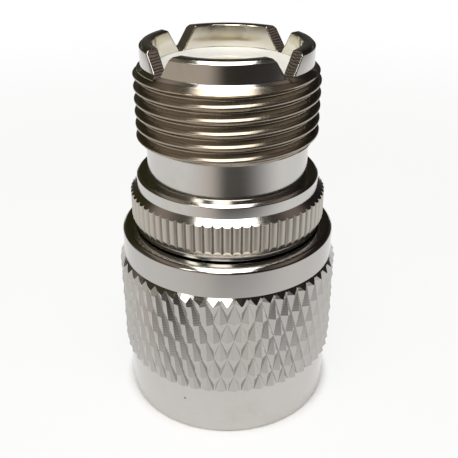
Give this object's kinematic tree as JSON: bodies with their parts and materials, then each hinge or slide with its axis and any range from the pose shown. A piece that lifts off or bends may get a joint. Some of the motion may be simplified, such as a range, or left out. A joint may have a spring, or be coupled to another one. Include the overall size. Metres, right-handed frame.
{
  "type": "coax adapter",
  "caption": "Coaxial adapter: an N-series plug with a turning knurled coupling nut at one end and a threaded UHF-series jack with a notched mouth at the other.",
  "frame": {"origin": "centre of the coupling nut's open rim, on the surface that the adapter stands on", "axes": "+Z along the adapter's axis from the plug to the jack"},
  "size_m": [0.02, 0.02, 0.0334],
  "materials": {
    "nickel_plate": "bright nickel plate on brass",
    "contact_plate": "silver plate on brass",
    "spring_bronze": "plain phosphor bronze",
    "ptfe": "smooth white PTFE",
    "silicone": "soft red silicone"
  },
  "bodies": {
    "adapter_body": {"jack_shell": "nickel_plate", "jack_insulator": "ptfe", "socket_contact": "contact_plate", "plug_shell": "nickel_plate", "plug_insulator": "ptfe", "pin_contact": "contact_plate", "retaining_ring": "spring_bronze", "gasket": "silicone"},
    "nut": {"coupling_nut": "nickel_plate"}
  },
  "joints": [
    {"name": "nut_spin", "type": "hinge", "parent": "adapter_body", "child": "nut", "pos_m": [0, 0, 0], "axis": [0, 0, 1], "continuous": true}
  ]
}
